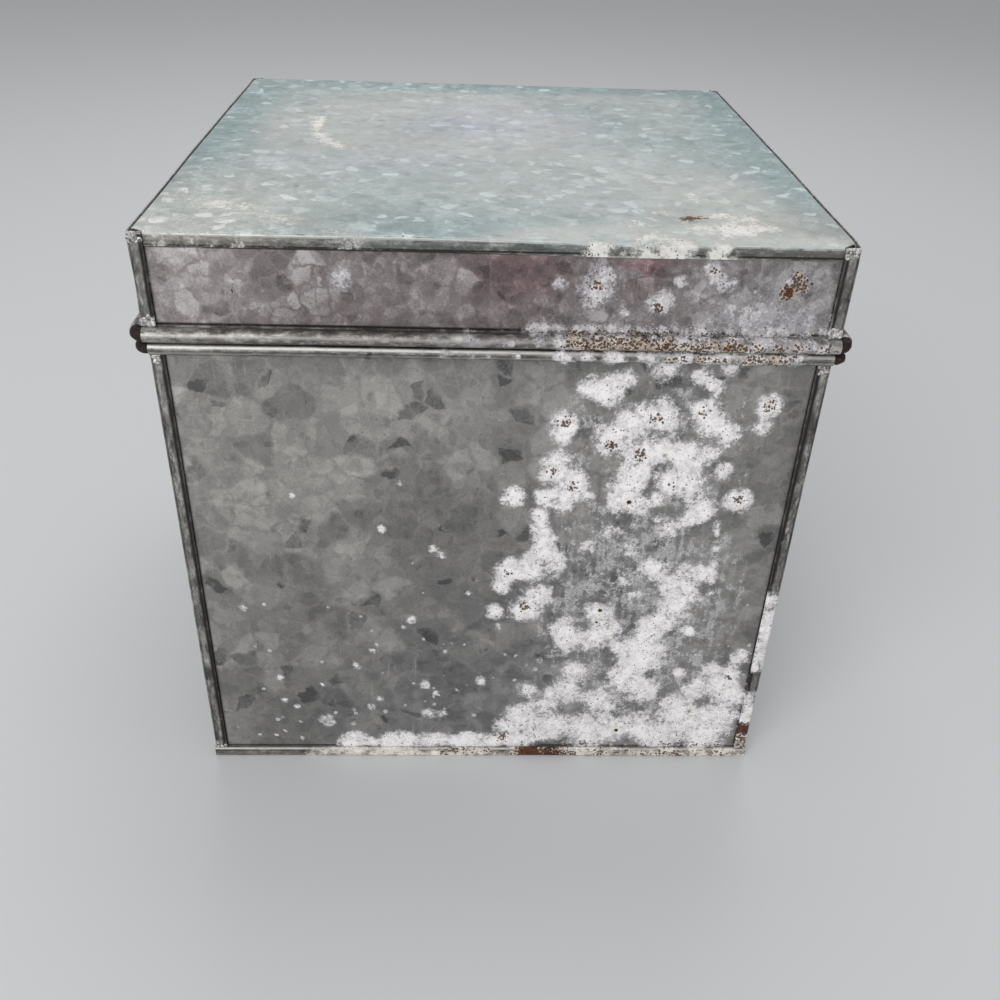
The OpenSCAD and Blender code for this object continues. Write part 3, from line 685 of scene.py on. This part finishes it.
# The back wall, with the body's knuckles of the hinge
backLook = dict(zincLook, face="xz", washes=[((0, 150, 20), 190, (0.86, 0.87, 0.90), 0.8)],
                crevices=[("x", 146.3, 1.2, 0.9, 7, 250), ("z", 7.2, 1.2, 0.7)], grain=(0.35, 1, 1))
backSheet = {
    "name": "bodyBack", "node": "back_panel", "body": "body", "cell": 4, "seed": 7.0, "look": backLook,
    "free": {"x": (-146, 146), "z": (8, 240)}, "outward": (0, 1, 0), "sway": 1.1, "strips": [("z", 255, 263, 0.8)],
    "oxide": scatter((-140, 15), (140, 240), 60, 8, .9, 31) + row((-140, 11), (140, 11), 26, 6, .85, 32)
             + row((-140, 250), (140, 250), 12, 5, .4, 33),
    "haze": [(-40, 90, 60, .5), (90, 60, 50, .5)],
    "rust": scatter((-140, 15), (140, 220), 12, 2.6, .6, 34) + row((-150, 257), (150, 257), 22, 4, .5, 35),
}

# The lid's top sheet, with its flange down over the front skirt
# The top's zinc colours are lighter and blue-green: painted light from above and a painted reflection of the sky; the
# flank tint paints its front flange darker as the shaded side, and the lines paint a highlight on the rolled front
# edge and shade in the crease below it
topLook = dict(zincLook, face="xy", spangle=9.5, contrast=1.0, leaves=(0.18, 0.42), lean=0.07, metal=0.35, rough=0.5,
    soot=0.12, flecks=0.35, dark=(0.18, 0.235, 0.24), mid=(0.300, 0.375, 0.378), light=(0.56, 0.655, 0.67),
    powder=[(0.50, 0.50, 0.48), (0.66, 0.65, 0.62), (0.80, 0.79, 0.75)], rub=(1, 0.1, 1), scratch=0.2,
    flankTint=(0.52, 0.46, 0.44), grimeTint=(1, 1, 1), grain=(0.35, 1, 1),
    crevices=[("z", 302.3, 1.0, 1.0), ("z", 303.6, 1.6, 0.4)], shines=[("z", 306.9, 1.0, 0.6)],
    washes=[((10, 50, 308), 80, (1.02, 0.97, 1.16), 0.9), ((-50, -30, 308), 50, (1.04, 0.97, 1.10), 0.8),
            ((-150, -150, 308), 140, (1.50, 1.27, 1.20), 0.9), ((140, 120, 308), 130, (0.80, 0.85, 0.86), 0.9),
            ((130, -150, 308), 90, (1.14, 1.0, 0.96), 0.9)])
topSheet = {
    "name": "lidTop", "node": "lid_top", "body": "lid", "cell": 3.5, "seed": 8.0, "look": topLook,
    "free": {"x": (-147, 147), "y": (-146, 146)}, "above": ("z", 303), "outward": (0, 0, -1), "sway": 0.9,
    "strips": [("z", 301, 307.2, 0.7)], "flankBelow": 307.2,
    "oxide": [(97, -90, 6, .6), (93, -82, 4, .45), (105, -132, 10, .75), (98, -137, 8, .7), (88, -130, 6, .6),
              (65, -147, 10, .6), (78, -150, 8, .6), (136, 132, 2.4, .7), (139, 106, 2.4, .6), (33, 60, 2.5, .5),
              (42, -152, 6, .7), (95, -153, 6, .6), (118, -128, 7, .5), (75, -112, 5, .4), (60, -128, 6, .5),
              (112, -116, 7, .6), (100, -112, 6, .6)]
             + row((-97, 52), (-99, 22), 8, 3.6, .8, 41) + row((-98, 20), (-80, -14), 10, 4.0, .8, 42)
             + row((-150, -100), (-60, -150), 10, 9, .35, 43) + scatter((-140, -140), (140, 140), 60, 1.6, .6, 46),
    "haze": [(-140, -135, 34, .45), (-110, -148, 30, .4), (60, -146, 34, .3), (-30, -20, 20, .3)],
    "rust": [(87.5, -118, 3.6, .95), (83, -120, 3.0, .6), (92, -117, 3.2, .6), (-12, -85, 1.5, .5),
             (-38.7, -150.8, 2.0, .6), (123, -55, 1, .5)] + row((38, -153), (50, -153), 3, 1.6, .5, 44),
}

# The lid's front skirt
# The lid front's purplish tint is a painted reflection of the room on the zinc's own grey
lidFrontLook = dict(zincLook, face="xz", spangle=11, contrast=1.3, leaves=(0.22, 0.26), metal=0.45, rough=0.5,
    soot=0.4, flecks=0.25, dark=(0.070, 0.060, 0.062), mid=(0.206, 0.180, 0.180), light=(0.46, 0.43, 0.435),
    rub=(1, 1, 0.08), scratch=0.2, grain=(0.35, 1, 1), grimeTint=(0.82, 0.86, 0.80), shines=lidBeadHighlights,
    powder=[(0.27, 0.26, 0.28), (0.44, 0.42, 0.44), (0.72, 0.69, 0.69)],
    washes=[((-140, -152, 285), 75, (1.42, 1.45, 1.43), 0.9), ((10, -152, 299), 34, (1.0, 0.74, 0.78), 0.8),
            ((62, -152, 299), 16, (1.1, 0.74, 0.80), 0.8), ((130, -152, 280), 60, (1.32, 1.42, 1.42), 0.9)],
    crevices=[("x", 147.5, 1.5, 1.0, 267, 302), ("z", 301.6, 1.0, 1.0), ("z", 266.9, 1.1, 1.0),
              ("z", 260.0, 0.8, 0.9)])
lidStrips = [("y", 150.4, 160, 0.9), ("z", 259, 266.7, 0.8)]
skirt = {"body": "lid", "free": {"x": (-146, 146), "z": (250, 320)}, "above": ("z", 268), "sway": 0.35}
lidFrontSheet = {
    **skirt, "name": "lidFront", "node": "lid_front_skirt", "cell": 1.6, "seed": 9.0, "look": lidFrontLook,
    "outward": (0, -1, 0), "strips": [("z", 259, 266.7, 0.9)],
    "oxide": [(43, 288, 8, .62), (42, 281, 6, .45), (44, 296, 6, .4), (71, 281, 6, .85), (92, 296, 5, .7),
              (97, 290, 5, .55), (79, 291, 3, .75), (102, 291, 2.5, .55), (128, 290, 7, .45), (110, 278, 12, .3),
              (121, 273, 10, .35), (97, 274, 8, .3), (136, 275, 8, .35), (-67, 288, 5, .6), (-66, 292, 3, .5),
              (27, 289, 4, .45), (56, 277, 3, .5), (86, 284, 3, .4)]
             + row((14, 268.4), (146, 268.2), 40, 2.2, .75, 51) + row((30, 263), (150, 263), 20, 4, .8, 52)
             + row((-20, 263), (30, 263), 8, 3, .45, 53),
    "haze": [(120, 282, 34, .6), (43, 288, 14, .8), (60, 272, 24, .4), (-142, 288, 14, .5), (-110, 275, 20, .25),
             (20, 270, 20, .3)],
    "rust": [(126, 287, 3.6, .85), (132, 290, 4.5, .4), (129, 294, 3, .45), (43, 288, 2.4, .5),
             (70.5, 278.5, 2.2, .55), (92, 296, 1.8, .5), (-113, 283, .8, .5)]
            + row((32, 263.5), (108, 263), 30, 3.6, .36, 54) + row((108, 263), (150, 263), 10, 3, .36, 55),
    "crust": row((16, 268.5), (146, 268.3), 14, 4, .9, 56) + row((32, 263.5), (132, 263), 14, 6, .9, 57),
}
lidCrevices = [("z", 266.6, 0.9, 0.8), ("x", 148.1, 1.2, 1.0, 267, 307), ("x", 152.3, 0.7, 0.6, 267, 306)]
lidSideLook = dict(zincLook, face="yz", crevices=lidCrevices, shines=lidBeadHighlights)


def lidSideSheet(name, node, outward, seed):
    dice = int(seed) * 7
    return {
        **skirt, "name": name, "node": node, "cell": 4, "seed": seed, "look": lidSideLook, "outward": outward,
        "free": {"y": (-146, 146), "z": (250, 320)}, "sway": 0.5, "strips": lidStrips,
        "oxide": scatter((-140, 270), (140, 300), 16, 6, .8, dice)
                 + row((-140, 269), (140, 269), 20, 3.5, .6, dice + 1) + [(-152, 268, 3, .7), (-152, 306, 2, .6)],
        "haze": [(-60, 285, 40, .4), (90, 280, 30, .3)],
        "rust": scatter((-140, 262), (140, 300), 8, 2.4, .6, dice + 2)
                + row((-150, 263), (150, 263), 14, 3, .45, dice + 3),
    }


lidBackSheet = {
    **skirt, "name": "lidBack", "node": "lid_back_skirt", "cell": 4, "seed": 12.0, "outward": (0, 1, 0),
    "look": dict(zincLook, face="xz", crevices=[("x", 147.5, 1.1, 0.9, 267, 302), ("z", 301.6, 0.8, 0.8)]),
    "strips": [("z", 255, 266.7, 0.8)],
    "oxide": scatter((-140, 270), (140, 300), 22, 6, .8, 61), "haze": [(0, 285, 60, .4)],
    "rust": scatter((-140, 265), (140, 300), 8, 2.2, .6, 62) + row((-150, 259), (150, 259), 22, 4, .5, 63),
}

for sheet in (frontSheet, footSheet, leftSheet, rightSheet, backSheet, topSheet, lidFrontSheet,
              lidSideSheet("lidLeft", "lid_left_skirt", (-1, 0, 0), 10.0),
              lidSideSheet("lidRight", "lid_right_skirt", (1, 0, 0), 11.0), lidBackSheet):
    makeSheet(sheet)


# Rust over iron: the rim wires and the hinge rod
ironLook = {"dark": (0.004, 0.003, 0.003), "mid": (0.018, 0.008, 0.006), "light": (0.15, 0.060, 0.028)}


def rustyIron(look):
    finish, place = newFinish("rustyIron")
    scale = place.noise(1.7, 7.0, 0.74)
    patch = place.noise(7, 3.0, 0.6)
    colour = (scale * 0.7 + patch * 0.4).ramp((0.47, look["dark"]), (0.59, look["mid"]), (0.70, look["light"]))
    closeFinish(place, {"Base Color": colour, "Roughness": 0.72 + (scale - 0.5) * 0.3, "Metallic": 0.25,
                        "Normal": (scale * 0.5).bump(0.8, 1.0)})
    return finish


ironFinish = rustyIron(ironLook)
wireWork = {"Step": 0.9 * mm, "Scale Height": 0.45 * mm, "Finish": ironFinish}
turnRoom, turnSteps = 0.7, 8  # a bend's radius over the wire's, in mm, and its steps


def wirePath(node):  # the wire's middle line, in mm, and its radius
    low, high = (np.array(corner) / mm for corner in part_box(node))
    radius = (high[2] - low[2]) / 2
    z = low[2] + radius
    if "front" not in node:
        x = (low[0] + high[0]) / 2
        return [(x, low[1], z), (x, high[1], z)], radius
    turn = radius + turnRoom
    sideX, frontY = high[0] - radius, low[1] + radius
    quarter = [math.pi / 2 * k / turnSteps for k in range(turnSteps + 1)]
    bend = [(sideX - turn + turn * math.sin(a), frontY + turn - turn * math.cos(a), z) for a in quarter]
    half = [(0, frontY, z)] + bend + [(sideX, high[1], z)]
    return [(-x, y, h) for x, y, h in reversed(half[1:])] + half, radius


def makeWire(node, seed, body, bulge):
    path, radius = wirePath(node)
    bare = [float(abs(x) > 150 and y < -148) for x, y, z in path]
    path = [(x + math.copysign(bulge, x) * b, y, z) for (x, y, z), b in zip(path, bare)]
    mesh = bpy.data.meshes.new(node)
    mesh.from_pydata(np.array(path) * mm, [(k, k + 1) for k in range(len(path) - 1)], [])
    keep(mesh, "bare", bare)
    first, *rest = node.split("_")
    name = first + "".join(part.title() for part in rest)
    wire = grow(mesh, wireTree, {**wireWork, "Radius": (radius - 0.02) * mm, "Seed": seed}, name)
    setPoints(wire.data, wandered(pointsOf(wire.data)))
    settled(wire.data)
    wire.data.shade_smooth()
    finishPiece(wire, body, "iron_wire", node)


wires = [("front_rim_wire", "body", 1.0), ("left_rim_wire", "body", 0), ("right_rim_wire", "body", 0),
         ("lid_front_rim_wire", "lid", 0), ("lid_left_rim_wire", "lid", 0), ("lid_right_rim_wire", "lid", 0)]
for seed, (node, body, bulge) in enumerate(wires):
    makeWire(node, float(seed), body, bulge)
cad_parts["hinge_rod"].data.materials[0] = ironFinish
print("wires done")


# Powdery grains of oxide on the beads and along the foot
def crustFinish():
    finish, place = newFinish("oxideCrust")
    shade = place.noise(1.8, 5.0, 0.7)
    colour = shade.ramp((0.34, (0.34, 0.27, 0.18)), (0.46, (0.60, 0.57, 0.53)), (0.62, (0.80, 0.79, 0.78)))
    closeFinish(place, {"Base Color": colour, "Roughness": 0.9})
    return finish


grainFinish = crustFinish()
grainWork = {"Density": 1.0e6, "Grain Size": 0.30 * mm, "Finish": grainFinish}


def joined(objects, name):  # one mesh from many, in an object of its own
    whole = bmesh.new()
    for part in objects:
        whole.from_mesh(part.data)
        bpy.data.objects.remove(part)
    return shown(name, meshOf(whole, name))


for body, meshes in crusted.items():
    grown = [grow(mesh, grainTree, {**grainWork, "Seed": k}, body + "Crust") for k, mesh in enumerate(meshes)]
    crust = joined(grown, body + "OxideCrust")
    crust.data.materials.append(grainFinish)
    settled(crust.data)
    finishPiece(crust, body, "weathered_galvanised_sheet")
    print("crust", body, len(crust.data.polygons), "faces")


# Solder: lumps at the ends of the seams and over the lid's clipped corners
def solderFinish():
    finish, place = newFinish("dullSolder")
    cloud = place.noise(1.6, 5.0, 0.68)
    colour = cloud.ramp((0.36, (0.10, 0.09, 0.08)), (0.46, (0.34, 0.33, 0.32)), (0.60, (0.72, 0.71, 0.69)))
    closeFinish(place, {"Base Color": colour, "Roughness": 0.28 + cloud * 0.35, "Metallic": 0.6,
                        "Normal": (cloud * 0.5).bump(0.6, 1.0)})
    return finish


solderCoat = solderFinish()
lumpWork = {"Dents": 0.5 * mm, "Seed": 3, "Finish": solderCoat}
solderLook = {
    "body": {"node": "body_solder_tacks", "x": 149.2, "front": -152.5, "back": 152.5,
             "levels": [(250.5, 2.6, 1.1, 8), (9.2, 2.2, 0.9, 7)]},  # level: z, spread, lump size, count
    "lid": {"node": "lid_solder_tacks", "x": 150.4, "front": -153.7, "back": 152.5, "platesAbove": 300,
            "levels": [(268.6, 2.2, 1.2, 10), (305.6, 1.6, 1.0, 9)]},
}


def makeSolder(body, look):
    dice = np.random.default_rng(71)
    centres, sizes = [], []
    for side in (-1, 1):
        for y in (look["front"], look["back"]):
            for z, spread, size, count in look["levels"]:
                for k in range(count):
                    lump = size * dice.uniform(0.5, 1.2)
                    centres.append((side * look["x"] + dice.uniform(-2.6, 2.6), y, z + dice.uniform(-spread, spread)))
                    sizes.append((lump * dice.uniform(0.8, 1.5), lump * 0.42, lump * dice.uniform(0.8, 1.3)))
    mesh = bpy.data.meshes.new("solder")
    mesh.from_pydata(np.array(centres) * mm, [], [])
    flat = np.asarray(sizes, np.float32).ravel() * mm
    mesh.attributes.new("size", "FLOAT_VECTOR", "POINT").data.foreach_set("vector", flat)
    parts = [grow(mesh, lumpTree, lumpWork, "lumps")]
    if "platesAbove" in look:  # the plates that close the lid's clipped corners stay under the lumps
        plates = copied(look["node"])
        low = [v for v in plates.verts if v.co.z < look["platesAbove"] * mm]
        bmesh.ops.delete(plates, geom=low, context="VERTS")
        parts.append(bpy.data.objects.new("plates", meshOf(plates, "plates")))
    piece = joined(parts, body + "Solder")
    piece.data.materials.append(solderCoat)
    points = pointsOf(piece.data)
    setPoints(piece.data, wandered(knocked(points) if body == "lid" else points))
    settled(piece.data)
    piece.data.shade_smooth()
    finishPiece(piece, body, "solder", look["node"])


for body, look in solderLook.items():
    makeSolder(body, look)
print("solder done")


# Inside: cleaner zinc, and fibre board behind it
linerLook = {"dark": (0.24, 0.25, 0.26), "mid": (0.36, 0.37, 0.38), "light": (0.52, 0.53, 0.54), "spangle": 12,
             "drips": (0.60, 0.57, 0.52), "spots": (0.20, 0.10, 0.05)}


def linerZinc(name, face, look):
    finish, place = newFinish(name)
    tone, darkLeaf, paleLeaf, tilt = spangle(place, look["spangle"], face)
    drift = place.noise(45, 4.0, 0.6)
    shade = tone * 0.9 + drift * 0.3 + 0.35 + paleLeaf * 0.15 - darkLeaf * 0.15
    colour = shade.ramp((0.15, look["dark"]), (0.5, look["mid"]), (0.85, look["light"]))
    drip = place.stretched((1, 1, 0.15)).noise(18, 6.0, 0.65)
    colour = colour.tinted(look["drips"], (drip - 0.56).ease(0.0, 0.12) * 0.5)
    spot = place.noise(3.5, 5.0, 0.7)
    colour = colour.tinted(look["spots"], (spot - 0.70).ease(0.0, 0.06) * 0.8)
    facing = tilt.scaled(0.06).vector("ADD", place.add("ShaderNodeNewGeometry", out="Normal")).vector("NORMALIZE")
    closeFinish(place, {"Base Color": colour, "Metallic": 0.7, "Roughness": 0.38 + drip * 0.25,
                        "Normal": (drift * 0.6 + spot * 0.05).bump(0.3, 1.0, Normal=facing)})
    return finish


for node, face in (("inner_liner", "xz"), ("throat_frame", "xy"), ("liner_floor", "xy"), ("lid_liner", "xy")):
    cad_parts[node].data.materials[0] = linerZinc(node + "_zinc", face, linerLook)


def corkBoard():
    finish, place = newFinish("corkBoard")
    crumb = place.cells(3.2, out="Color")
    shade = crumb.split("Color") * 0.6 + place.noise(1.2, 4.0, 0.7) * 0.5
    colour = shade.ramp((0.2, (0.10, 0.055, 0.03)), (0.5, (0.28, 0.17, 0.09)), (0.85, (0.45, 0.31, 0.18)))
    closeFinish(place, {"Base Color": colour, "Roughness": 0.9, "Normal": crumb.other("Distance").bump(0.7, 1.0)})
    return finish


cork = corkBoard()
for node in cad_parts:
    if "insulation" in node:
        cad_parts[node].data.materials[0] = cork


def makeLidBoard(look):  # the lid's board, a little thinner where the dented top sheet presses on it
    mesh = cutSheet("lid_insulation", look["cell"], "xy")
    points = pointsOf(mesh)
    points[:, 2] -= (points[:, 2] > look["above"]) * look["pressed"]
    setPoints(mesh, knocked(points))
    board = shown("lidBoard", mesh)
    mesh.materials.clear()
    mesh.materials.append(cork)
    finishPiece(board, "lid", "insulating_board", "lid_insulation")


makeLidBoard({"cell": 10, "above": 300, "pressed": 1.8})
print("inside done")

# Floor, light and camera
floorLook = {"colour": (0.62, 0.63, 0.64), "size": 6.0}
floorMesh, s = bpy.data.meshes.new("floor"), floorLook["size"]
floorMesh.from_pydata([(-s, -s, 0), (s, -s, 0), (s, s, 0), (-s, s, 0)], [], [(0, 1, 2, 3)])
finish, place = newFinish("paleFloor")
closeFinish(place, {"Base Color": (*floorLook["colour"], 1), "Roughness": 0.85})
floorMesh.materials.append(finish)
shown("floor", floorMesh)

lamps = [
    {"name": "overheadLamp", "at": (0.1, 0.9, 1.9), "aim": (0, 0, 0.2), "size": 1.3, "power": 13},
    {"name": "frontLamp", "at": (-0.9, -1.8, 1.3), "aim": (0, 0, 0.15), "size": 1.8, "power": 33},
]
for lamp in lamps:
    light = bpy.data.lights.new(lamp["name"], "AREA")
    light.size, light.energy = lamp["size"], lamp["power"]
    holder = shown(lamp["name"], light)
    holder.location = lamp["at"]
    holder.rotation_euler = (Vector(lamp["aim"]) - Vector(lamp["at"])).to_track_quat("-Z", "Y").to_euler()

roomLook = {"Color": (0.82, 0.82, 0.82, 1), "Strength": 0.55}
world = bpy.data.worlds.new("room")
world.use_nodes = True
for name, value in roomLook.items():
    world.node_tree.nodes["Background"].inputs[name].default_value = value
bpy.context.scene.world = world
bpy.context.scene.view_settings.view_transform = "Standard"

cameraPlace = {"at": (-15.05, -568.69, 451.74), "pitch": 33.295, "yaw": 2.686, "roll": 2.144, "focalPixels": 1027.55}


def makeCamera(place):
    pitch, yaw, roll = (math.radians(place[k]) for k in ("pitch", "yaw", "roll"))
    ahead = Vector((math.sin(yaw) * math.cos(pitch), math.cos(yaw) * math.cos(pitch), -math.sin(pitch)))
    right = Vector((math.cos(yaw), -math.sin(yaw), 0))
    up = right.cross(ahead)
    turnedRight = math.cos(roll) * right + math.sin(roll) * up
    turnedUp = math.cos(roll) * up - math.sin(roll) * right
    data = bpy.data.cameras.new("camera")
    data.sensor_width = 36
    data.lens = place["focalPixels"] / 1000 * data.sensor_width  # the image is 1000 pixels wide
    data.clip_start = 0.01
    camera = shown("camera", data)
    turn = Matrix((turnedRight, turnedUp, -ahead)).transposed()
    camera.matrix_world = Matrix.Translation(Vector(place["at"]) * mm) @ turn.to_4x4()
    bpy.context.scene.camera = camera


makeCamera(cameraPlace)
print("scene done")
